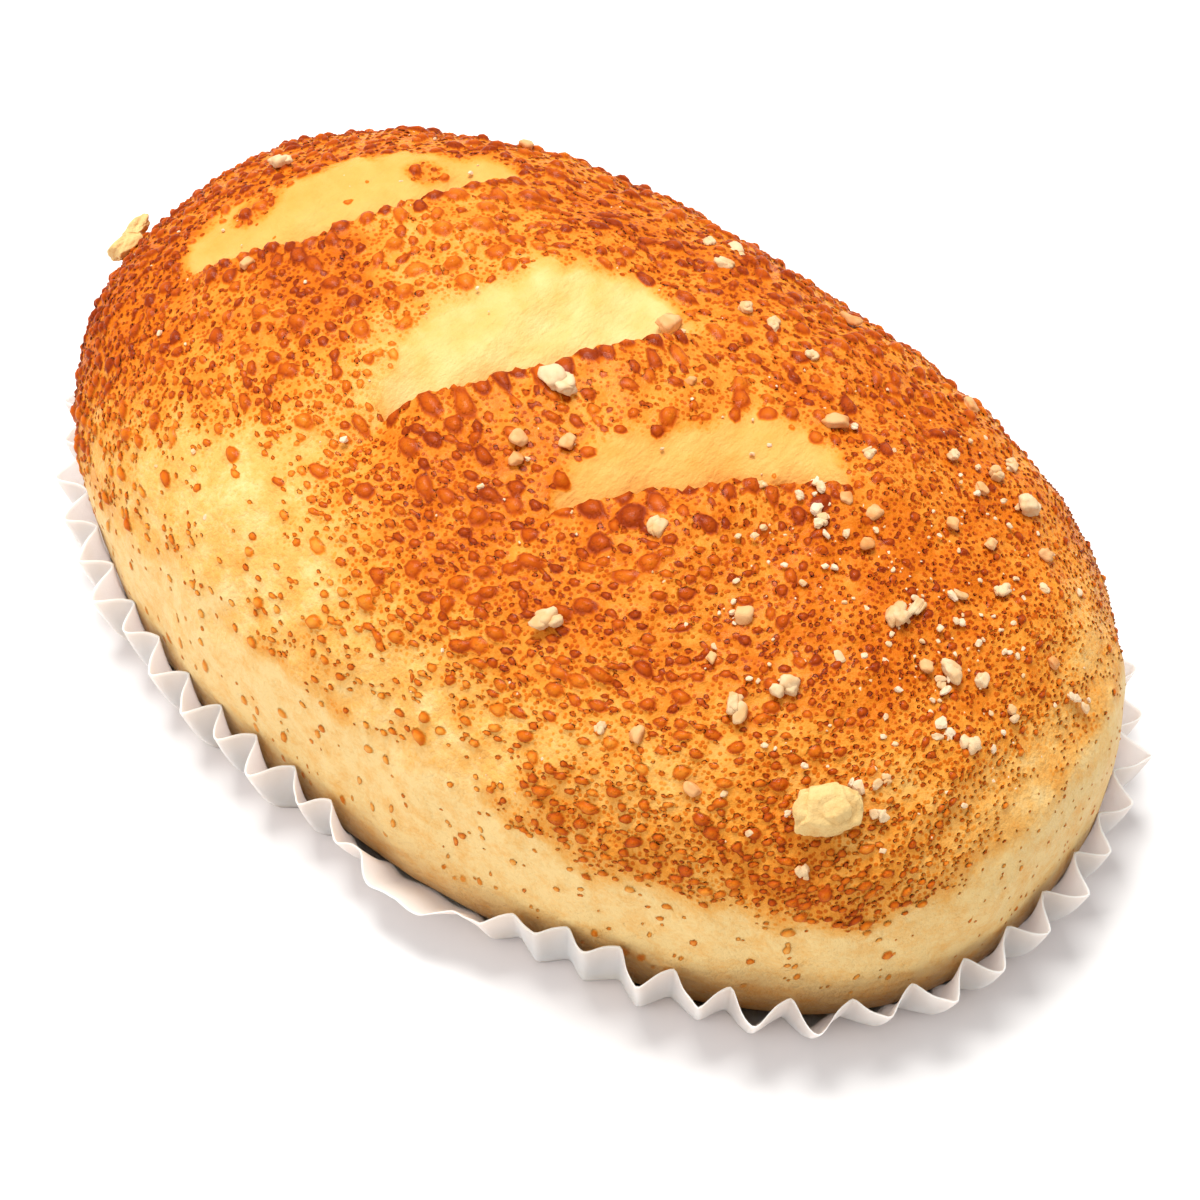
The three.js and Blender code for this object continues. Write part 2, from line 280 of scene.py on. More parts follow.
def beside_lip(slash, later, out):
    """Places on the map that lie out from a slash's lip, at -1 to 1 along it."""
    low = np.array(slash["low"])
    run = np.array(slash["high"]) - low
    across = np.array([-run[1], run[0]]) / np.hypot(*run)
    places = low + np.outer((later + 1) / 2, run) + np.outer(out - lip_bow(slash, later), across)
    return np.stack(map_of(*places.T), -1)


def crust_point(u, v):
    """Points of the crust, or of the skirt below the widest outline."""
    share, angle = polar(u, v)
    x, y = plan_of(u, v)
    points = slashed_dome(x, y)
    turn = np.clip((share - 1) / (MAP_END - 1), 0, 1) * np.pi / 2
    tuck = 1 - UNDER_TUCK * (1 - np.cos(turn))
    below = share > 1
    points[below, 0] = (x * tuck)[below]
    points[below, 1] = (y * tuck)[below]
    points[below, 2] = (WIDEST_HEIGHT - (WIDEST_HEIGHT - UNDERSIDE) * np.sin(turn))[below]
    return points


def outward(u, v):
    """The way out of the plain dome, which bumps grow along."""
    step = 0.4
    share = polar(u, v)[0]
    fit = np.minimum(share, 0.995) / np.maximum(share, 1e-6)
    x, y = plan_of(u * fit, v * fit)
    slope_x = (plain_dome(x + step, y)[0] - plain_dome(x - step, y)[0]) / (2 * step)
    slope_y = (plain_dome(x, y + step)[0] - plain_dome(x, y - step)[0]) / (2 * step)
    normal = np.stack([-slope_x, -slope_y, np.ones_like(x)], -1)
    normal[:, 2] *= 1 - smooth((share - 0.97) / 0.06)
    return normal / np.linalg.norm(normal, axis=1)[:, None]


def waves_3d(points, size, seed):
    """Slow unevenness from -1 to 1, as a sum of waves in fixed random directions."""
    rng = np.random.default_rng(seed)
    total = np.zeros(len(points))
    for _ in range(10):
        way = rng.normal(size=3)
        way *= 2 * np.pi / (size * np.linalg.norm(way) * rng.uniform(0.7, 1.5))
        total += np.sin(points @ way + rng.uniform(0, 2 * np.pi))
    return total / 4


print(f"the map measures {2 * MAP_HALF_LENGTH * MAP_END:.0f} by {2 * MAP_HALF_WIDTH * MAP_END:.0f} mm")

# %% [markdown]
# ## How brown each place is
# Oven heat browns what stands high and what has a coating. The scoops opened late and stayed
# pale, and so did the sides next to the paper. One number from 0, pale dough, to 1, dark crust,
# is built from the height, from the scoops, and from listed soft patches: the real bun is
# darker along its lobes and paler in the folds between them.

# %% Browning
USUAL_BROWN = 0.68
LEAST_BROWN = 0.06
SIDE_PALING = 0.75
# Soft patches seen from above: middle, half length, half width, turn in degrees, and change.
PATCHES = [
    (-60, -8, 7, 22, 0, 0.22),
    (-35, -7, 11, 6, 0, 0.34),
    (-50, -21, 13, 7, -20, 0.24),
    (-24, -20, 9, 5, 20, 0.06),
    (5, -22, 14, 8, 0, 0.24),
    (-6, -9, 4, 7, -25, 0.10),
    (26, -8, 12, 5, 40, 0.04),
    (23, 16, 7, 3, -10, 0.24),
    (44, 6, 12, 12, 20, 0.26),
    (50, -8, 9, 8, 0, 0.12),
    (-12, 24, 16, 6, 0, 0.16),
    (28, 26, 14, 6, 0, 0.18),
    (54, -27, 9, 4, 25, 0.14),
    (-30, -34, 20, 6, 4, -0.38),
    (-17, -15, 5, 14, -8, -0.42),
    (-24, -7, 5, 5, 0, -0.14),
    (-24, -41, 10, 5, 0, -0.20),
    (-8, -37, 12, 6, 0, -0.18),
    (-30, 2, 9, 8, 0, -0.08),
    (13, -37, 14, 5, 0, -0.24),
    (21, -42, 8, 5, 0, -0.22),
    (16, -7, 4, 5, 0, -0.10),
    (26, -15, 5, 4, 0, -0.14),
    (32, 13, 5, 4, 0, -0.14),
    (-10, 14, 5, 4, 0, -0.10),
    (-40, 19, 13, 8, 20, 0.14),
    (32, -18, 18, 14, 0, 0.14),
    (-46, 9, 6, 7, 0, 0.30),
    (10, 14, 9, 5, 0, 0.12),
    (-14, 24, 12, 5, 0, 0.08),
    (-14, 29, 14, 5, 0, 0.08),
    (-2, -33, 13, 5, 0, 0.10),
    (36, -32, 12, 5, 8, -0.20),
    (51, -19, 9, 6, 10, -0.26),
    (0, -44, 60, 4, 0, -0.30),
    (68, 4, 6, 30, 0, -0.40),
    (60, 22, 7, 8, 0, -0.24),
    (50, -31, 7, 5, 0, -0.12),
]
# Islands of browned crust inside the scoops: middle, half length, half width, turn and share.
ISLANDS = [
    (-39.5, 15.5, 2.4, 1.8, 40, 0.9),
    (-52.0, -1.0, 2.0, 3.6, 0, 0.8),
]
# Where the side turns pale, as a share of the way down, by direction round the bun.
PALE_FROM = [
    (-180, 0.98),
    (-140, 0.90),
    (-110, 0.80),
    (-60, 0.80),
    (-20, 0.86),
    (0, 0.80),
    (40, 0.84),
    (90, 0.96),
    (180, 0.98),
]


def patch_weight(x, y, patch):
    middle_x, middle_y, half_length, half_width, turn, _ = patch
    c = math.cos(math.radians(turn))
    s = math.sin(math.radians(turn))
    along = ((x - middle_x) * c + (y - middle_y) * s) / half_length
    across = ((y - middle_y) * c - (x - middle_x) * s) / half_width
    return np.exp(-0.7 * (along**2 + across**2))


def scoop_share(x, y, points):
    """1 in the pale scoops and 0 on the crust, and how golden the scoops' dough is."""
    uneven = 0.9 * waves_3d(points, 7, 11) + 0.6 * waves_3d(points, 2.5, 12)
    total = np.zeros_like(x)
    gold = np.zeros_like(x)
    for slash in SLASHES:
        share, _, _, from_lip, opening = beside(slash, x, y)
        lip_side = smooth((from_lip - 0.1) / 0.4)
        far_side = smooth((opening + 1.2 * uneven * share - from_lip) / 3.2 + 0.2)
        here = lip_side * far_side * smooth(share * 3 - 0.3)
        for island in ISLANDS:
            here = here * (1 - island[-1] * smooth(1.6 * patch_weight(x, y, island) - 0.3))
        gold = np.where(here > total, slash["gold"] + 0.10 * smooth(from_lip / opening), gold)
        total = np.maximum(total, here)
    return total, gold


def browning(u, v):
    """How brown the crust is at places on the map, and the share of scoop there."""
    points = crust_point(u, v)
    share = polar(u, v)[0]
    x, y = plan_of(u, v)
    scoop, gold = scoop_share(x, y, points)
    turns_pale = np.interp(np.degrees(np.arctan2(y, x)), *zip(*PALE_FROM))
    brown = USUAL_BROWN + 0.09 * waves_3d(points, 16, 21) + 0.09 * waves_3d(points, 6, 22)
    for patch in PATCHES:
        brown = brown + patch[-1] * patch_weight(x, y, patch)
    brown -= SIDE_PALING * smooth((share + 0.03 * waves_3d(points, 12, 23) - turns_pale) / 0.16)
    brown = np.clip(brown, LEAST_BROWN, 1.0)
    gold = gold + 0.05 * waves_3d(points, 5, 25)
    return brown * (1 - scoop) + gold * scoop, scoop


some_brown = browning(np.linspace(-70, 70, 200), np.zeros(200))[0]
print(f"along the middle the crust's brown runs from {some_brown.min():.2f} to {some_brown.max():.2f}")

# %% [markdown]
# ## Where the blisters sit
# The crust is covered with thousands of domed blisters, from the size of a pinprick to that of a
# small lentil, crowded on the brown parts and lonely on the pale ones. They are thrown onto the
# map in rounds, with some more along the lips of the slashes. The largest are kept first, and one
# that would land on another is dropped, so small ones fill the gaps, as on the real crust.

# %% Scatter the blisters
rng = np.random.default_rng(20)
# For each round of throws: how many, and the smallest and largest radius.
ROUNDS = [
    (2600, 0.70, 1.20),
    (10000, 0.46, 0.70),
    (12000, 0.30, 0.46),
    (3500, 0.20, 0.30),
]
THROWN_TO = 1.12
# Blisters shrink towards the end without a slash and away from the front, between these places.
FINE_END = (22.0, 46.0)
FINE_SIDE = (-26.0, -8.0)
FINE_SHRINK = 0.42
CROWDING = 0.85  # the share of two radii that has to lie between two middles
LIP_THROWS = 90
lip_rng = np.random.default_rng(29)


def along_lips():
    """Places and radii of blisters along the lips, where the crust curled up and baked most."""
    spots = []
    for slash in SLASHES:
        later = lip_rng.uniform(-0.94, 0.94, LIP_THROWS)
        out = lip_rng.uniform(-1.5, 0.3, LIP_THROWS) * (1 - later**2) ** LIP_SWELL
        spots.append(beside_lip(slash, later, out))
    spots = np.concatenate(spots)
    return spots[:, 0], spots[:, 1], lip_rng.uniform(0.45, 0.95, len(spots))


def throw_blisters():
    """Places, radii and browning of all throws that the crust there is likely to blister at."""
    throws = sum(count for count, _, _ in ROUNDS)
    spread = np.sqrt(rng.random(throws)) * THROWN_TO
    angle = rng.random(throws) * 2 * np.pi
    u = MAP_HALF_LENGTH * spread * np.cos(angle)
    v = MAP_HALF_WIDTH * spread * np.sin(angle)
    brown, scoop = browning(u, v)
    radius = np.concatenate([low + (high - low) * rng.random(count) ** 1.6 for count, low, high in ROUNDS])
    x, y = plan_of(u, v)
    towards_end = smooth((x - FINE_END[0]) / (FINE_END[1] - FINE_END[0]))
    off_front = smooth((y - FINE_SIDE[0]) / (FINE_SIDE[1] - FINE_SIDE[0]))
    fine = towards_end * off_front
    radius *= 1 - FINE_SHRINK * fine * smooth((radius - 0.2) / 0.3)
    clumps = waves_3d(crust_point(u, v), 5, 24)
    likely = 0.06 + 0.94 * smooth((brown + 0.14 * clumps - 0.20) / 0.34)
    likely *= 1 - 0.985 * scoop
    keep = rng.random(throws) < likely
    lip_u, lip_v, lip_radius = along_lips()
    thrown = np.stack([u, v, radius, brown])[:, keep]
    on_lips = np.stack([lip_u, lip_v, lip_radius, np.maximum(browning(lip_u, lip_v)[0], 0.8)])
    everything = np.concatenate([thrown, on_lips], axis=1)
    return everything[:, np.argsort(-everything[2], kind="stable")]


class Crowd:
    """Discs on the map, kept in square bins so that near ones are found quickly."""

    def __init__(self, bin_size):
        self.bin_size = bin_size
        self.bins = {}

    def free(self, u, v, radius):
        i = int(u // self.bin_size)
        j = int(v // self.bin_size)
        for key in [(i + di, j + dj) for di in (-1, 0, 1) for dj in (-1, 0, 1)]:
            for other_u, other_v, other_radius in self.bins.get(key, ()):
                reach = (radius + other_radius) * CROWDING
                if (u - other_u) ** 2 + (v - other_v) ** 2 < reach * reach:
                    return False
        return True

    def add(self, u, v, radius):
        key = (int(u // self.bin_size), int(v // self.bin_size))
        self.bins.setdefault(key, []).append((u, v, radius))


crowd = Crowd(2 * ROUNDS[0][2])
kept = []
for u, v, radius, brown in throw_blisters().T:
    if crowd.free(u, v, radius):
        crowd.add(u, v, radius)
        kept.append((u, v, radius, brown))
blisters = np.array(kept)
print(f"{len(blisters)} blisters, {np.sum(blisters[:, 2] > 0.5)} of them wider than 1 mm")

# %% [markdown]
# ## The crust as one skin
# A grid fine enough for every blister would need millions of faces. Instead the skin's points
# follow the blisters: a middle and one or two uneven rings for each, rows along the lips of the
# slashes, and a loose scatter in between. Delaunay triangulation joins them on the flat map, and
# then every point is lifted to the crust.

# %% Rings round the blisters
# For each class of blisters: its smallest radius, and the size and number of points of its rings.
RINGS = [
    (0.70, [(0.52, 6), (1.0, 10)]),
    (0.46, [(0.58, 5), (1.0, 8)]),
    (0.29, [(1.0, 7)]),
    (0.0, [(1.0, 5)]),
]
shape_rng = np.random.default_rng(41)
blister_count = len(blisters)
blister_stretch = shape_rng.uniform(1.0, 1.45, blister_count)
blister_lean = shape_rng.uniform(0, np.pi, blister_count)
blister_phase = shape_rng.uniform(0, 2 * np.pi, (3, blister_count))


def blister_reach(k, angle):
    """How far blister k reaches in a direction: a leaning, uneven oval."""
    lean = angle - blister_lean[k]
    root = np.sqrt(blister_stretch[k])
    oval = 1 / np.hypot(np.cos(lean) / root, np.sin(lean) * root)
    uneven = 0.10 * np.sin(2 * angle + blister_phase[1][k])
    uneven += 0.07 * np.sin(3 * angle + blister_phase[2][k])
    return blisters[k, 2] * oval * (1 + uneven)


def rings_of(k, rings):
    """Places of the middles and rings of the blisters k, and the blister of each place."""
    places = [blisters[k, :2]]
    for size, steps in rings:
        for step in range(steps):
            angle = 2 * np.pi * step / steps + blister_phase[0][k]
            reach = size * blister_reach(k, angle)
            places.append(blisters[k, :2] + (reach * [np.cos(angle), np.sin(angle)]).T)
    return np.concatenate(places), np.tile(k, len(places))


ring_places = []
ring_owners = []
largest = np.inf
for smallest, rings in RINGS:
    members = np.flatnonzero((blisters[:, 2] >= smallest) & (blisters[:, 2] < largest))
    largest = smallest
    places, owners = rings_of(members, rings)
    ring_places.append(places)
    ring_owners.append(owners)
    print(f"{len(members)} blisters with {len(rings)} rings")

# %% The places between them
FILL_STEP = 1.3
SCOOP_STEP = 0.85
ROWS_FROM_LIP = [-0.7, -0.3, -0.05, 0.12, 0.4, 0.75, 1.15, 1.6, 2.1]
EDGE_POINTS = 420


def loose_fill(step, wanted, seed):
    """A jittered grid of places that no blister covers, where wanted holds."""
    local = np.random.default_rng(seed)
    us = np.arange(-MAP_HALF_LENGTH * MAP_END, MAP_HALF_LENGTH * MAP_END, step)
    vs = np.arange(-MAP_HALF_WIDTH * MAP_END, MAP_HALF_WIDTH * MAP_END, step)
    places = np.stack(np.meshgrid(us, vs), -1).reshape(-1, 2)
    places = places + local.uniform(-0.33, 0.33, places.shape) * step
    places = places[polar(*places.T)[0] < MAP_END - 0.015]
    places = places[wanted(browning(*places.T)[1])]
    return places[[crowd.free(u, v, 0.12) for u, v in places]]


def lip_rows():
    """Close rows of places along each lip, so that the fold is sharp."""
    later = np.linspace(-0.98, 0.98, 120)
    share = (1 - later**2) ** LIP_SWELL
    rows = [beside_lip(slash, later, off * share) for slash in SLASHES for off in ROWS_FROM_LIP]
    rows = np.concatenate(rows)
    return rows[[crowd.free(u, v, 0.05) for u, v in rows]]


edge_angle = np.linspace(0, 2 * np.pi, EDGE_POINTS, endpoint=False)
edge_u = MAP_HALF_LENGTH * MAP_END * np.cos(edge_angle)
edge_v = MAP_HALF_WIDTH * MAP_END * np.sin(edge_angle)
fill = loose_fill(FILL_STEP, lambda scoop: scoop < 0.5, 31)
scoop_fill = loose_fill(SCOOP_STEP, lambda scoop: scoop >= 0.5, 32)
between = [np.stack([edge_u, edge_v], -1), fill, scoop_fill, lip_rows()]
between_count = sum(len(places) for places in between)
skin = np.concatenate(ring_places + between)
owner = np.concatenate(ring_owners + [np.full(between_count, -1)])
print(f"{len(skin)} places in the skin, {between_count} of them between blisters")

# %% Triangles of the skin
_, _, triangles, origin, _, _ = delaunay_2d_cdt([Vector(place) for place in skin], [], [], 0, 1e-5)
source = np.array([ids[0] for ids in origin])
skin = skin[source]
owner = owner[source]
triangles = np.array(triangles)
print(f"{len(triangles)} triangles in the skin")

# %% [markdown]
# Where blisters crowd each other they grow together, so a place takes the height of the tallest
# dome over it. That needs every place to know the blisters that reach it, and a KD-tree finds
# them.

# %% Domes of the blisters
DOME_HEIGHT = 0.68
DOME_POWER = 0.78

tree = KDTree(len(skin))
for index, place in enumerate(skin):
    tree.insert((*place, 0), index)
tree.balance()
pairs = []
for k, (u, v, radius, _) in enumerate(blisters):
    pairs += [(index, k) for _, index, _ in tree.find_range((u, v, 0), 1.5 * radius)]
at, by = np.array(pairs).T
offset = skin[at] - blisters[by, :2]
out = np.hypot(*offset.T) / blister_reach(by, np.arctan2(offset[:, 1], offset[:, 0]))
dome = np.maximum(1 - out**2, 0) ** DOME_POWER
tall = shape_rng.uniform(0.7, 1.3, blister_count)
tallness = dome * blisters[by, 2] * tall[by]
rising = np.argsort(tallness, kind="stable")
swell = np.zeros(len(skin))
rise = np.zeros(len(skin))
swell[at[rising]] = dome[rising]
rise[at[rising]] = tallness[rising]
over = tallness[rising] > 0
owner[at[rising][over]] = by[rising][over]
print(f"{np.sum(swell > 0)} places are under a dome")

# %% [markdown]
# Below the blisters the skin carries slow lumps, and the scoops carry the fine ripples of dough
# that was pulled open, with one soft fold along the lip.

# %% Lift the skin
LUMP_HEIGHT = 0.42
PULL_HEIGHT = 0.26
FOLD_AT = 0.30
FOLD_DROP = 1.15

u, v = skin.T
skin_brown_and_fold_shade, skin_scoop = browning(u, v)
base = crust_point(u, v)
plan = np.stack(plan_of(u, v))
fold = np.zeros(len(skin))
for slash in SLASHES:
    share, _, _, from_lip, opening = beside(slash, *plan)
    inside = from_lip / opening + 0.05 * waves_3d(base, 9, 64)
    fold += smooth((FOLD_AT - inside) / 0.07) * smooth((from_lip - 0.6) / 1.2) * smooth(share * 3 - 1)
# Painted shade: the fold band next to the lip is made a little browner, as if it lay in the lip's shade.
skin_brown_and_fold_shade = skin_brown_and_fold_shade + 0.06 * fold * skin_scoop
growth = DOME_HEIGHT * rise * (0.6 + 0.4 * smooth(skin_brown_and_fold_shade / 0.4))
lumps = LUMP_HEIGHT * waves_3d(base, 15, 61) + 0.45 * LUMP_HEIGHT * waves_3d(base, 5, 62)
pulled = (PULL_HEIGHT * waves_3d(base * [1.0, 0.4, 1.0], 5.0, 63) - FOLD_DROP * fold) * skin_scoop
fade_low = 1 - smooth((polar(u, v)[0] - 1.0) / 0.12)
height = (growth + pulled) * fade_low + lumps * (0.3 + 0.7 * fade_low)
skin_points = base + outward(u, v) * height[:, None]
skin_points[:, 2] = np.maximum(skin_points[:, 2], UNDERSIDE)
print(f"the tallest blister stands {growth.max():.2f} mm proud")

# %% [markdown]
# ## From arrays to Blender
# One helper turns points and faces into a piece: it moves them into the frame, stores the masks
# that the materials read as attributes, and tells the frame what the piece rides on.


# %% Mesh helper
def to_mesh(name, points, faces, masks=None, uv=None, rounded=True):
    """A piece from arrays of points and triangles, with a mask value per point."""
    points = (np.asarray(points, float) + [SHIFT_X, SHIFT_Y, 0]) * MM
    faces = np.asarray(faces, np.int32)
    mesh = bpy.data.meshes.new(name)
    mesh.vertices.add(len(points))
    mesh.vertices.foreach_set("co", points.astype(np.float32).ravel())
    mesh.loops.add(faces.size)
    mesh.loops.foreach_set("vertex_index", faces.ravel())
    mesh.polygons.add(len(faces))
    mesh.polygons.foreach_set("loop_start", np.arange(len(faces), dtype=np.int32) * 3)
    mesh.polygons.foreach_set("use_smooth", np.full(len(faces), rounded))
    mesh.update(calc_edges=True)
    for mask, values in (masks or {}).items():
        attribute = mesh.attributes.new(mask, "FLOAT", "POINT")
        attribute.data.foreach_set("value", np.asarray(values, np.float32))
    if uv is not None:
        mesh.uv_layers.new(name="OFBake").data.foreach_set("uv", np.asarray(uv, np.float32).ravel())
    piece = bpy.data.objects.new(name, mesh)
    bpy.context.scene.collection.objects.link(piece)
    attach(piece, "root")
    print(f"{name}: {len(points)} points, {len(faces)} triangles")
    return piece


def upright(points, triangles):
    """The triangles, turned so that they face up on the flat map."""
    a, b, c = (points[triangles[:, k]] for k in range(3))
    turned = (b[:, 0] - a[:, 0]) * (c[:, 1] - a[:, 1]) - (b[:, 1] - a[:, 1]) * (c[:, 0] - a[:, 0])
    triangles = triangles.copy()
    triangles[turned < 0] = triangles[turned < 0][:, ::-1]
    return triangles


# %% Make the bun
crust_faces = upright(skin, triangles)
edge = np.flatnonzero(polar(u, v)[0] > MAP_END - 1e-4)
edge = edge[np.argsort(np.arctan2(v[edge], u[edge]))]
under = len(skin_points)
under_faces = np.stack([np.roll(edge, -1), edge, np.full(len(edge), under)], -1)
bun_points = np.concatenate([skin_points, [[0, 0, UNDERSIDE]]])
toast_rng = np.random.default_rng(52)
toast = 0.56 * blisters[:, 3] + 0.33 + 0.26 * toast_rng.random(blister_count) ** 1.4
# The brown mask holds the browning, and in the scoops it also holds the painted shade of the fold band.
masks = {
    "brown": np.append(skin_brown_and_fold_shade, 0),
    "scoop": np.append(skin_scoop, 0),
    "swell": np.append(swell * fade_low, 0),
    "toast": np.append(np.where(owner < 0, skin_brown_and_fold_shade, toast[owner]), 0),
}
# The map is also the texture map: the skin below, and the underside in a strip above it.
map_scale = 0.99 / (2 * MAP_HALF_LENGTH * MAP_END)
skin_uv = skin * map_scale + [0.5, 0.36]
under_uv = np.concatenate([skin_points[:, :2] * [0.0028, 0.0028] + [0.5, 0.86], [[0.5, 0.86]]])
bun_uv = np.concatenate([skin_uv[crust_faces].reshape(-1, 2), under_uv[under_faces].reshape(-1, 2)])
bun = to_mesh("bun_crust", bun_points, np.concatenate([crust_faces, under_faces]), masks, bun_uv)
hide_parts("bun")

# %% [markdown]
# ## Shader maths as Python
# A material is a graph of nodes, but its maths reads best as formulas. The class below wraps a
# socket, so that `1 - mask` or `mask * 0.5` adds the Math node for it. Everything else comes
# from one method that takes a node's type, its settings and the values of its sockets.


# %% Material helper
class Field:
    """A value that varies over a surface: one output socket of a material's node."""

    def __init__(self, paint, socket):
        self.paint = paint
        self.socket = socket

    def maths(self, operation, first, second):
        return self.paint.node("Math", {"operation": operation}, {0: first, 1: second})

    def __add__(self, other):
        return self.maths("ADD", self, other)

    def __radd__(self, other):
        return self.maths("ADD", other, self)

    def __sub__(self, other):
        return self.maths("SUBTRACT", self, other)

    def __rsub__(self, other):
        return self.maths("SUBTRACT", other, self)

    def __mul__(self, other):
        return self.maths("MULTIPLY", self, other)

    def __rmul__(self, other):
        return self.maths("MULTIPLY", other, self)

    def ramp(self, low, high, to_low=0.0, to_high=1.0):
        """The value moved from one range to another, smoothly and held at both ends."""
        settings = {"interpolation_type": "SMOOTHSTEP"}
        values = {"From Min": low, "From Max": high, "To Min": to_low, "To Max": to_high}
        return self.paint.node("MapRange", settings, {"Value": self, **values})


class Paint:
    """A material and the nodes in it."""

    def __init__(self, name):
        self.material = bpy.data.materials.new(name)
        self.material.use_nodes = True
        self.nodes = self.material.node_tree.nodes
        self.links = self.material.node_tree.links
        self.shader = self.nodes["Principled BSDF"]
        self.places = {}

    def node(self, kind, settings=None, values=None, output=0):
        """Adds a node: its settings first, then the values or links of its sockets."""
        node = self.nodes.new("ShaderNode" + kind)
        for name, value in (settings or {}).items():
            if name == "stops":
                self.set_stops(node.color_ramp, value)
            else:
                setattr(node, name, value)
        for name, value in (values or {}).items():
            self.feed(node.inputs[name], value)
        return Field(self, node.outputs[output])

    def set_stops(self, ramp, stops):
        while len(ramp.elements) < len(stops):
            ramp.elements.new(1.0)
        for element, (place, colour) in zip(ramp.elements, stops):
            element.position = place
            element.color = (*colour, 1.0)

    def feed(self, socket, value):
        if isinstance(value, Field):
            self.links.new(value.socket, socket)
        else:
            socket.default_value = value

    def mask(self, name):
        """An attribute that was stored on the mesh."""
        return self.node("Attribute", {"attribute_name": name}, output=2)

    def place(self, stretch=(1, 1, 1)):
        """The place on the piece in millimetres, stretched along its axes."""
        if stretch not in self.places:
            where = self.node("TexCoord", output=3)
            scale = [factor / MM for factor in stretch]
            self.places[stretch] = self.node("Mapping", {}, {"Vector": where, "Scale": scale})
        return self.places[stretch]

    def noise(self, size, detail=3.0, roughness=0.5, stretch=(1, 1, 1)):
        """Soft noise from 0 to 1 with features about as wide as size, in millimetres."""
        values = {"Vector": self.place(stretch), "Scale": 1 / size, "Detail": detail, "Roughness": roughness}
        return self.node("TexNoise", {}, values)

    def cells(self, size):
        """Distance to the nearest of scattered points, a cell being about as wide as size."""
        values = {"Vector": self.place(), "Scale": 1 / size, "Randomness": 1.0}
        return self.node("TexVoronoi", {"feature": "F1"}, values)

    def mix(self, share, first, second):
        """Two colours mixed."""
        return self.node("Mix", {"data_type": "RGBA"}, {0: share, 6: first, 7: second}, output=2)

    def bump(self, height, distance, strength=1.0, under=None):
        """A bump whose height field spans the given distance in millimetres."""
        values = {"Height": height, "Distance": distance * MM, "Strength": strength}
        if under:
            values["Normal"] = under
        return self.node("Bump", {}, values)

    def finish(self, **sockets):
        for name, value in sockets.items():
            self.feed(self.shader.inputs[name.replace("_", " ")], value)
        print(f"{self.material.name}: {len(self.nodes)} nodes")
        return self.material


def linear(level):
    """A level of 0 to 255 on a screen, as the linear number that a shader uses."""
    if level < 11:
        return level / 255 / 12.92
    return ((level / 255 + 0.055) / 1.055) ** 2.4


def shade(red, green, blue):
    """A colour given by its levels on a screen."""
    return linear(red), linear(green), linear(blue)


def opaque(colour):
    return (*colour, 1.0)


# %% [markdown]
# ## The finish of the crust
# Dough turns from cream to gold to reddish brown as it bakes. The skin between blisters is
# always paler than the blisters on it. A blister's top is painted paler as a painted highlight,
# and its rim a little darker as painted shade. The brown mask picks a colour on one ramp, and the
# swell mask moves it further along. A thin coat gives the small bright glints of an oiled crust,
# while the scoops stay satin.

# %% Crust material
BAKE_STOPS = [
    (0.00, shade(231, 197, 133)),
    (0.16, shade(226, 170, 90)),
    (0.36, shade(221, 141, 48)),
    (0.55, shade(204, 105, 14)),
    (0.78, shade(176, 72, 1)),
    (1.00, shade(134, 44, 0)),
]


def crust_material():
    paint = Paint("baked crust")
    # The brown mask also carries the painted shade of the fold band in the scoops.
    brown = paint.mask("brown")
    crust = 1 - paint.mask("scoop")
    toast = paint.mask("toast")
    swell = paint.mask("swell")
    dome = swell.ramp(0.02, 0.52)
    top = swell.ramp(0.50, 1.0)
    mottle = paint.noise(2.6, 4.0, 0.6)
    fine = paint.noise(0.45, 3.0, 0.6)
    pimple = paint.cells(0.62).ramp(0.24, 0.48, 1.0, 0.0) * brown.ramp(0.20, 0.5) * crust
    net = brown * 0.58 + (mottle - 0.5) * (0.16 + 0.30 * crust) + (fine - 0.5) * 0.20 * crust
    net = net + pimple * 0.26 - 0.02 * (1 - crust)
    # Painted highlight and painted shade: the top of a blister is made paler, and its rim a little darker.
    raised = toast + 0.02 + (mottle - 0.5) * 0.28 + (fine - 0.5) * 0.14 - top * 0.20
    baked = net + (raised - net) * dome
    colour = paint.node("ValToRGB", {"stops": BAKE_STOPS}, {"Fac": baked})
    grain = fine * 0.5 + pimple * 0.7
    wrinkle = paint.noise(1.8, 4.0, 0.6) * (1 - dome) * (0.3 + 0.7 * crust)
    stretch = paint.noise(0.8, 3.0, 0.55, (1.0, 0.4, 1.0)) * (1 - crust)
    normal = paint.bump(grain, 0.10, 0.9, paint.bump(wrinkle + 0.4 * stretch, 0.65, 0.8))
    rough = 0.46 - 0.04 * dome * crust + 0.24 * (mottle - 0.5)
    paint.shader.inputs["Specular IOR Level"].default_value = 0.07
    paint.shader.inputs["Coat Roughness"].default_value = 0.12
    coat = (0.03 + 0.03 * dome) * crust
    return paint.finish(Base_Color=colour, Roughness=rough, Coat_Weight=coat, Normal=normal)


bun.data.materials.append(crust_material())

# %% [markdown]
# ## The paper case
# The case is pressed from one thin round of baking paper: a flat foot, and a wall gathered into
# pleats that open towards the rim. On one side it was squashed, and its pleats are nearly ironed
# out there. The wall is a closed sheet with an outer and an inner face, and its pleats are a
# rounded zigzag along the outline.

# %% Sizes of the case
PLEATS = 58
FOLD_OFFSET = 0.35
TIP_OFFSET = 3.95
FOLD_HEIGHT = 10.1
TIP_HEIGHT = 9.3
PLEAT_OPENING = 1.2
FOOT_SHARE = 0.6
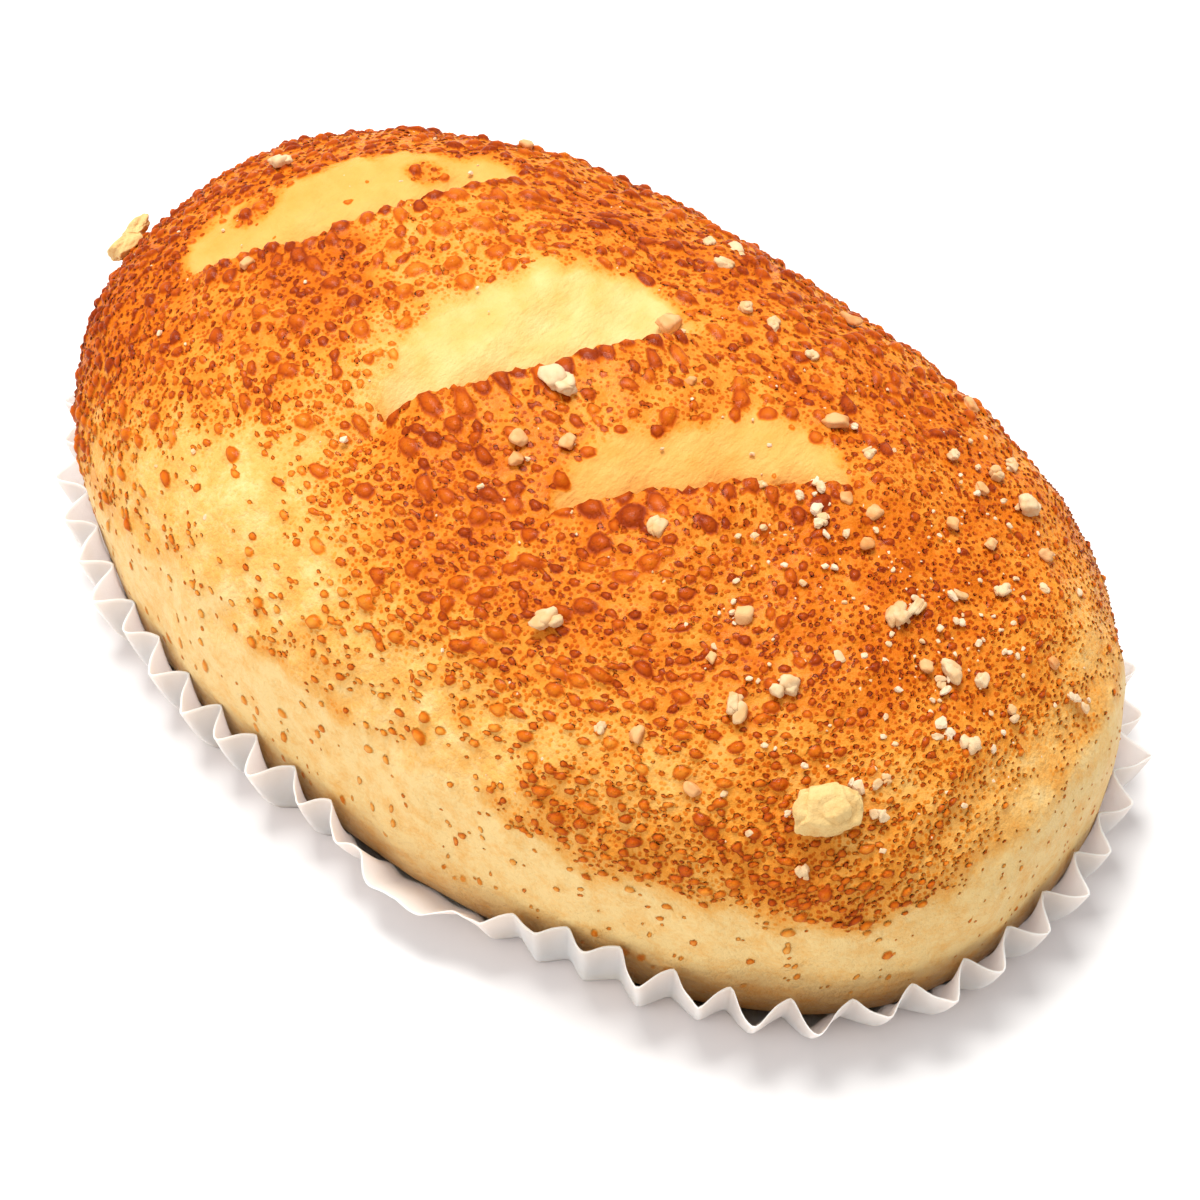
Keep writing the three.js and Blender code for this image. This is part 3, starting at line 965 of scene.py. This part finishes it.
# Where the case stands out further, fits closer or was pressed flat, by direction round the bun.
FLARE_OUT = {"direction": -24, "spread": 13, "out": 1.8}
TIGHT = {"direction": -54, "spread": 12, "in": 0.3, "depth_left": 0.45, "raise": 0.6}
PRESSED = {"direction": -69, "spread": 12, "depth_left": 0.12, "drop": 3.2, "out": 3.4}
PAPER = 0.13
PLEAT_SHARPNESS = 0.92
PLEAT_STEPS = 16
WALL_ROWS = 12


def even_angles(count):
    """Angles that split the widest outline into stretches of equal length."""
    angle = np.linspace(0, 2 * np.pi, 5761)
    x, y = outline(angle)
    run = np.concatenate([[0], np.cumsum(np.hypot(np.diff(x), np.diff(y)))])
    return np.interp(np.arange(count) / count * run[-1], run, angle)


def skirt_size(height):
    """The skirt's size at a height, as a share of the widest outline."""
    sine = np.minimum((WIDEST_HEIGHT - height) / (WIDEST_HEIGHT - UNDERSIDE), 1)
    return 1 - UNDER_TUCK * (1 - np.sqrt(1 - sine**2))


def outside_skirt(angle, distance, height):
    """Points that lie out from the skirt by a level distance."""
    step = 0.001
    x, y = np.array(outline(angle)) * skirt_size(height)
    run = np.array(outline(angle + step)) - outline(angle - step)
    run /= np.hypot(*run)
    return np.stack([x + run[1] * distance, y - run[0] * distance, height], -1)


def near_direction(angle, place):
    x, y = outline(angle)
    return bell(np.degrees(np.arctan2(y, x)) - place["direction"], place["spread"])


def case_point(angle, pleat, climb, inward):
    """Points of the wall; climb runs from 0 at the foot to 1 at the rim."""
    whole = np.floor(pleat)
    uneven = 1 + 0.16 * np.sin(2.4 * whole + 1) + 0.08 * np.sin(5.1 * whole)
    sway = 0.07 * np.sin(1.7 * whole) * np.sin(np.pi * (pleat - whole)) ** 2
    turn = pleat + sway + 0.05 * climb * np.sin(2 * np.pi * pleat) ** 2
    zigzag = np.arccos(PLEAT_SHARPNESS * np.cos(2 * np.pi * turn)) / np.pi
    low = np.arccos(PLEAT_SHARPNESS) / np.pi
    wave = (zigzag - low) / (1 - 2 * low)
    flat = near_direction(angle, PRESSED)
    tight = near_direction(angle, TIGHT)
    flare = FLARE_OUT["out"] * near_direction(angle, FLARE_OUT) + PRESSED["out"] * flat
    foot_depth = FOOT_SHARE * (TIP_OFFSET - FOLD_OFFSET) * uneven * (1 - (1 - PRESSED["depth_left"]) * flat)
    rim_depth = foot_depth / FOOT_SHARE * (1 - (1 - TIGHT["depth_left"]) * tight)
    opening = climb**PLEAT_OPENING
    opened = (flare + flat * (TIP_OFFSET - FOLD_OFFSET) / 2) * opening
    opened = opened + (foot_depth + (rim_depth - foot_depth) * opening) * wave
    rim = FOLD_HEIGHT + (TIP_HEIGHT - FOLD_HEIGHT) * wave - PRESSED["drop"] * flat
    rim = rim + 0.25 * np.sin(0.9 * pleat) + 0.15 * np.sin(2.3 * pleat) + TIGHT["raise"] * tight
    floor = PAPER if inward > 0 else 0.0
    out = FOLD_OFFSET + opened - TIGHT["in"] * tight - inward
    return outside_skirt(angle, out, floor + (rim - floor) * climb)


def band(lower, upper):
    """Triangles between two closed rings of equal length."""
    next_lower = np.roll(lower, -1)
    next_upper = np.roll(upper, -1)
    first = np.stack([lower, next_lower, next_upper], -1)
    second = np.stack([lower, next_upper, upper], -1)
    return np.concatenate([first, second])


def make_case():
    columns = PLEATS * PLEAT_STEPS
    angle = even_angles(columns)
    pleat = np.arange(columns) / PLEAT_STEPS
    climbs = np.linspace(0, 1, WALL_ROWS) ** 0.8
    rings = [case_point(angle, pleat, climb, 0) for climb in climbs]
    rings += [case_point(angle, pleat, climb, PAPER * 1.6) for climb in climbs[::-1]]
    index = np.arange(len(rings) * columns).reshape(len(rings), columns)
    faces = [band(index[k], index[k + 1]) for k in range(len(rings) - 1)]
    centre = len(rings) * columns
    below = np.stack([np.roll(index[0], -1), index[0], np.full(columns, centre)], -1)
    above = np.stack([index[-1], np.roll(index[-1], -1), np.full(columns, centre + 1)], -1)
    points = np.concatenate([*rings, [[0, 0, 0], [0, 0, PAPER]]])
    climb_mask = np.concatenate([np.repeat(climbs, columns), np.repeat(climbs[::-1], columns), [0, 0]])
    return to_mesh("pleated_case", points, np.concatenate([*faces, below, above]), {"climb": climb_mask})


case = make_case()
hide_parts("paper_case")


# %% Paper material
def paper_material():
    paint = Paint("baking paper")
    fibre = paint.noise(0.35, 4.0, 0.65)
    cloud = paint.noise(5.0, 3.0, 0.5)
    climb = paint.mask("climb")
    pale = paint.mix(cloud, opaque(shade(231, 216, 210)), opaque(shade(226, 206, 199)))
    # The paper turns tan in patches, most at the foot and none above three quarters of the wall.
    tan_near_foot = climb.ramp(0.0, 0.75, 1.0, 0.0) * cloud.ramp(0.35, 0.75)
    colour = paint.mix(tan_near_foot * 0.6, pale, opaque(shade(224, 196, 168)))
    # Painted highlight: the rim's edge is painted near white, as if it were catching the light.
    colour = paint.mix(climb.ramp(0.965, 0.995) * 0.7, colour, opaque(shade(252, 249, 247)))
    normal = paint.bump(fibre, 0.04, 0.8)
    paint.shader.inputs["Specular IOR Level"].default_value = 0.3
    paint.shader.inputs["Subsurface Weight"].default_value = 1.0
    paint.shader.inputs["Subsurface Scale"].default_value = 1.0
    paint.shader.inputs["Subsurface Radius"].default_value = (0.002, 0.0017, 0.0016)
    return paint.finish(Base_Color=colour, Roughness=0.62 + 0.2 * fibre, Normal=normal)


case.data.materials.append(paper_material())

# %% [markdown]
# ## Crumbs
# Two large crumbs, a few dozen smaller ones and a dusting of fine bits lie on the crust. Every
# crumb is a lump: a small sphere of triangles pushed in and out by waves. Large crumbs are
# several lumps grown together, which gives them their craggy outline. Each sits on the crust
# under its own place and faces the way the crust does there.

# %% Lumps


def unit_ball(subdivisions):
    """Points and triangles of a ball made by splitting an icosahedron."""
    golden = (1 + 5**0.5) / 2
    corners = []
    for a in (-1, 1):
        for b in (-golden, golden):
            corners += [(0, a, b), (a, b, 0), (b, 0, a)]
    points = [Vector(corner).normalized() for corner in corners]
    near = 1.2
    faces = []
    for a, b, c in combinations(range(12), 3):
        sides = [(points[i] - points[j]).length for i, j in ((a, b), (b, c), (c, a))]
        if max(sides) < near:
            turned = (points[b] - points[a]).cross(points[c] - points[a]).dot(points[a]) < 0
            faces.append((a, c, b) if turned else (a, b, c))
    for _ in range(subdivisions):
        halves = {}
        finer = []
        for a, b, c in faces:
            middles = []
            for pair in ((a, b), (b, c), (c, a)):
                key = tuple(sorted(pair))
                if key not in halves:
                    halves[key] = len(points)
                    points.append((points[pair[0]] + points[pair[1]]).normalized())
                middles.append(halves[key])
            ab, bc, ca = middles
            finer += [(a, ab, ca), (b, bc, ab), (c, ca, bc), (ab, bc, ca)]
        faces = finer
    return np.array([tuple(p) for p in points]), np.array(faces)


BALLS = [unit_ball(subdivisions) for subdivisions in range(5)]


def lump(detail, rng, craggy):
    """One uneven block about the origin, with a radius of about 1 and flat broken faces."""
    points, faces = BALLS[detail]
    push = np.ones(len(points))
    for waves in (1.6, 3.2, 7.0, 13.0):
        way = rng.normal(size=(3, 3)) * waves
        push += craggy / waves * np.sin(points @ way + rng.uniform(0, 6.3, 3)).mean(1)
    across = np.concatenate([np.eye(3), -np.eye(3)]) + rng.normal(size=(6, 3)) * 0.28
    cut = np.concatenate([across, rng.normal(size=(3, 3))])
    cut /= np.linalg.norm(cut, axis=1)[:, None]
    flat_at = np.concatenate([rng.uniform(0.58, 0.74, 6), rng.uniform(0.66, 0.9, 3)])
    reach = points @ cut.T
    flat_to = np.where(reach > flat_at, flat_at / np.maximum(reach, flat_at), 1.0).min(1)
    return points * (flat_to * push)[:, None], faces


def stand_on_crust(points, x, y, turn, sink):
    """Turns a crumb to the crust's slope, and stands it over the place (x, y)."""
    at_u, at_v = map_of(np.array([x]), np.array([y]))
    normal = Vector(outward(at_u, at_v)[0])
    top = slashed_dome(np.array([x]), np.array([y]))[0]
    lean = Vector((0, 0, 1)).rotation_difference(normal).to_matrix()
    spin = lean @ Matrix.Rotation(turn, 3, "Z")
    lowest = points[:, 2].min()
    lifted = points - [0, 0, lowest + sink]
    return lifted @ np.array(spin).T + top


def crumb(x, y, size, rng, detail=2, lumps=1, turn=None, sink=0.25, craggy=0.4):
    """Points and faces of one crumb of the given length, width and height."""
    turn = rng.uniform(0, 2 * np.pi) if turn is None else turn
    parts = []
    faces = []
    for k in range(lumps):
        body, triangles = lump(detail, rng, craggy)
        shrink = 1.0 if lumps == 1 else rng.uniform(0.55, 0.85)
        offset = rng.uniform(-1, 1, 3) * (0 if lumps == 1 else 0.45)
        offset[2] *= 0.5
        faces.append(triangles + sum(len(p) for p in parts))
        parts.append(body * shrink + offset)
    points = np.concatenate(parts)
    span = points.max(0) - points.min(0)
    points = (points - (points.max(0) + points.min(0)) / 2) / span * size
    return stand_on_crust(points, x, y, turn, sink), np.concatenate(faces)


def join(crumbs):
    """Several crumbs as one set of points and faces, with a random tone for each."""
    points = []
    faces = []
    tones = []
    start = 0
    for k, (some, triangles) in enumerate(crumbs):
        points.append(some)
        faces.append(triangles + start)
        tones.append(np.full(len(some), (k * 0.618) % 1))
        start += len(some)
    return np.concatenate(points), np.concatenate(faces), {"tone": np.concatenate(tones)}


# %% Crumb materials
def crumb_material(name, light, dark, depth):
    paint = Paint(name)
    tone = paint.mask("tone")
    pores = paint.noise(0.5, 4.0, 0.65)
    patch = paint.noise(1.6, 2.0, 0.5)
    share = (tone * 0.45 + patch.ramp(0.35, 0.7) * 0.5 + pores * 0.2).ramp(0.15, 1.0)
    colour = paint.mix(share, opaque(light), opaque(dark))
    normal = paint.bump(pores, depth, 0.9)
    paint.shader.inputs["Specular IOR Level"].default_value = 0.3
    return paint.finish(Base_Color=colour, Roughness=0.55 + 0.2 * pores, Normal=normal)


cream = crumb_material("cream crumb", shade(224, 194, 152), shade(215, 166, 110), 0.10)
buttery = crumb_material("buttery crumb", shade(226, 191, 126), shade(210, 160, 90), 0.22)
toasted = crumb_material("toasted crumb", shade(224, 172, 116), shade(210, 138, 72), 0.07)
chalky = crumb_material("chalky crumb", shade(226, 202, 170), shade(218, 176, 126), 0.06)

# %% [markdown]
# The large crumbs stand in for two CAD nodes, which are hidden; their places and sizes are given
# in the list below.

# %% Large crumbs
crumb_rng = np.random.default_rng(71)
LARGE_CRUMBS = [
    ("large_crumb_front", "crumb_front", (54.8, -20.6), (7.6, 5.9, 3.6), 0.75),
    ("large_crumb_back", "crumb_back", (-67.7, -7.6), (4.2, 7.4, 3.0), 0.15),
]
for name, node, (x, y), size, turn in LARGE_CRUMBS:
    made = crumb(x, y, size, crumb_rng, detail=4, lumps=2, turn=turn, sink=0.3)
    piece = to_mesh(name, *join([made]))
    piece.data.materials.append(buttery)
    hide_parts(node)

# %% [markdown]
# The smaller crumbs are listed one by one where the real ones lie, as place, length and width. A
# second list is of beads that toasted with the crust. Fine bits are scattered by chance, most
# of them over the end that has no slash.

# %% Small crumbs
CREAM_CRUMBS = [
    (1.4, -4.4, 3.4, 4.6), (19.6, -26.0, 2.4, 3.8), (44.0, -15.2, 3.0, 2.8), (41.8, -20.2, 2.4, 3.4),
    (60.6, -4.0, 2.5, 2.4), (45.0, 25.2, 3.2, 3.0), (46.6, 0.2, 2.6, 3.2), (47.4, 2.6, 1.6, 3.0),
    (5.6, 22.2, 2.0, 1.8), (16.0, 21.6, 1.6, 1.8), (30.6, 14.6, 1.6, 1.8), (22.2, -11.4, 2.4, 2.2),
    (-57.0, 7.4, 3.6, 2.4), (-3.6, 31.0, 3.4, 2.2), (-2.0, 27.0, 2.0, 2.6), (-6.6, 29.4, 2.2, 1.8),
    (40.2, 25.6, 2.0, 2.0), (39.6, 29.4, 2.6, 1.8), (53.6, 17.6, 1.6, 1.4), (56.2, -25.6, 1.8, 1.6),
    (59.0, -16.8, 1.8, 2.0), (57.4, -13.8, 1.4, 1.2), (24.4, -15.2, 1.8, 2.2), (26.8, -15.0, 1.4, 1.8),
    (31.6, -30.4, 1.6, 1.4), (54.4, 0.2, 2.0, 3.2), (57.0, 2.4, 1.8, 1.6), (61.2, 2.8, 1.6, 2.0),
    (51.4, 12.8, 1.6, 2.2), (49.0, 7.8, 1.2, 2.4), (9.8, 22.4, 1.8, 2.2), (36.0, 23.0, 1.6, 1.6),
]
TOASTED_BEADS = [
    (1.2, 13.8, 3.0, 2.4), (25.0, 15.2, 3.2, 2.0), (2.4, -12.2, 2.2, 2.0), (4.0, -14.2, 1.8, 1.8),
    (6.8, -9.0, 1.6, 2.0), (35.6, -12.2, 2.2, 2.0), (35.2, -28.6, 2.2, 1.8), (36.6, 8.2, 2.0, 1.8),
    (38.8, 4.4, 1.8, 1.8), (42.6, 14.6, 1.6, 1.6), (46.8, 16.6, 1.6, 1.4), (10.4, 7.2, 1.4, 1.4),
    (-42.4, -11.2, 1.8, 1.6), (27.2, 0.4, 1.4, 1.2), (33.8, 6.8, 1.8, 1.6), (52.4, -1.6, 1.6, 1.4),
    (12.6, 33.0, 3.0, 2.0), (30.0, 34.0, 3.0, 2.0), (-38.0, 31.0, 2.4, 2.0), (60.0, 11.6, 1.6, 1.4),
    (41.0, 22.0, 1.8, 1.4), (43.0, -28.6, 2.2, 1.4), (36.2, -18.0, 1.2, 1.2), (50.6, 21.8, 1.8, 1.6),
]
# Clusters of sugary bits: middle, reach and number.
WHITE_CLUSTERS = [
    (30.6, 4.4, 1.5, 13),
    (33.6, 2.6, 1.3, 9),
    (55.0, -2.2, 1.7, 6),
    (57.6, -5.6, 1.9, 8),
    (59.2, -7.0, 1.0, 4),
    (64.0, 12.0, 1.0, 4),
    (48.0, -3.0, 5.0, 8),
    (52.0, 8.0, 5.0, 8),
    (56.0, -16.0, 4.0, 7),
    (42.0, 22.0, 5.0, 5),
]


def placed(places, lumps, detail, height):
    return [
        crumb(x, y, (length, width, height * min(length, width)), crumb_rng, detail, lumps)
        for x, y, length, width in places
    ]


cream_piece = to_mesh("cream_crumbs", *join(placed(CREAM_CRUMBS, 3, 2, 0.7)))
bead_piece = to_mesh("toasted_beads", *join(placed(TOASTED_BEADS, 1, 2, 0.7)))
clusters = []
for x, y, reach, count in WHITE_CLUSTERS:
    for _ in range(count):
        near = crumb_rng.normal(size=2) * reach * 0.6
        length = 0.5 + 1.2 * crumb_rng.random() ** 1.5
        size = (length, length * crumb_rng.uniform(0.5, 0.9), length * crumb_rng.uniform(0.4, 0.65))
        clusters.append(crumb(x + near[0], y + near[1], size, crumb_rng, 1, 1, sink=0.08))
cluster_piece = to_mesh("chalky_crumbs", *join(clusters), rounded=False)

# %% Fine bits
BIT_COUNT = 360


def fine_bits():
    bits = []
    while len(bits) < BIT_COUNT:
        x = crumb_rng.uniform(-66, 68)
        y = crumb_rng.uniform(-40, 40)
        out = plain_dome(np.array([x]), np.array([y]))[1][0]
        wanted = 0.06 + 0.94 * bell(np.hypot((x - 48) / 20, (y - 4) / 20), 1.0)
        if out < 0.95 and crumb_rng.random() < wanted:
            size = 0.25 + 0.75 * crumb_rng.random() ** 3
            bits.append(crumb(x, y, (size, size * 0.75, size * 0.6), crumb_rng, 1, 1, sink=0.05))
    return bits


bit_piece = to_mesh("fine_bits", *join(fine_bits()), rounded=False)
FINISHES = [
    (cream_piece, cream),
    (bead_piece, toasted),
    (cluster_piece, chalky),
    (bit_piece, chalky),
]
for piece, material in FINISHES:
    piece.data.materials.append(material)

# %% [markdown]
# ## Table, light and camera
# The bun lies on a plain white table. A large soft light overhead and a little behind it gives
# the blisters their glints and the bun its soft shadow. A weaker one lifts the near side, and a
# white surround fills the rest.

# %% Table
bpy.ops.mesh.primitive_plane_add(size=6.0, location=(0, 0, 0))
table = bpy.context.object
table.name = "table"
table_paint = Paint("white table")
table_paint.finish(Base_Color=(0.84, 0.84, 0.84, 1), Roughness=0.9)
table.data.materials.append(table_paint.material)


# %% Light
def area_light(name, place, size, power, colour=(1, 1, 1)):
    """A soft square light at a place in metres, aimed at the bun."""
    data = bpy.data.lights.new(name, "AREA")
    data.size = size
    data.energy = power
    data.color = colour
    lamp = bpy.data.objects.new(name, data)
    lamp.location = place
    aim = Vector((0, 0, 0.02)) - Vector(place)
    lamp.rotation_euler = aim.to_track_quat("-Z", "Y").to_euler()
    bpy.context.scene.collection.objects.link(lamp)


area_light("key", (-0.23, 0.14, 0.87), 0.42, 9.5, (1.0, 0.98, 0.95))
area_light("fill", (-0.2, -0.85, 0.45), 0.7, 3.0)
world = bpy.data.worlds.new("surround")
world.use_nodes = True
world.node_tree.nodes["Background"].inputs["Color"].default_value = (1, 1, 1, 1)
world.node_tree.nodes["Background"].inputs["Strength"].default_value = 0.66
bpy.context.scene.world = world
bpy.context.scene.view_settings.view_transform = "Standard"

# %% Camera
AZIMUTH = math.radians(42.8)
ELEVATION = math.radians(50.0)
CAMERA_DISTANCE = 400.0
FOCAL_IN_WIDTHS = 3476.0 / 1200.0
LOOKS_AT = (11.2 + SHIFT_X, -8.5 + SHIFT_Y, 20.0)

camera_data = bpy.data.cameras.new("camera")
camera_data.sensor_width = 36.0
camera_data.lens = 36.0 * FOCAL_IN_WIDTHS
camera_data.clip_start = 0.01
camera = bpy.data.objects.new("camera", camera_data)
level = math.cos(ELEVATION)
back = Vector((math.sin(AZIMUTH) * level, -math.cos(AZIMUTH) * level, math.sin(ELEVATION)))
camera.location = (Vector(LOOKS_AT) + back * CAMERA_DISTANCE) * MM
camera.rotation_euler = (-back).to_track_quat("-Z", "Y").to_euler()
bpy.context.scene.collection.objects.link(camera)
bpy.context.scene.camera = camera
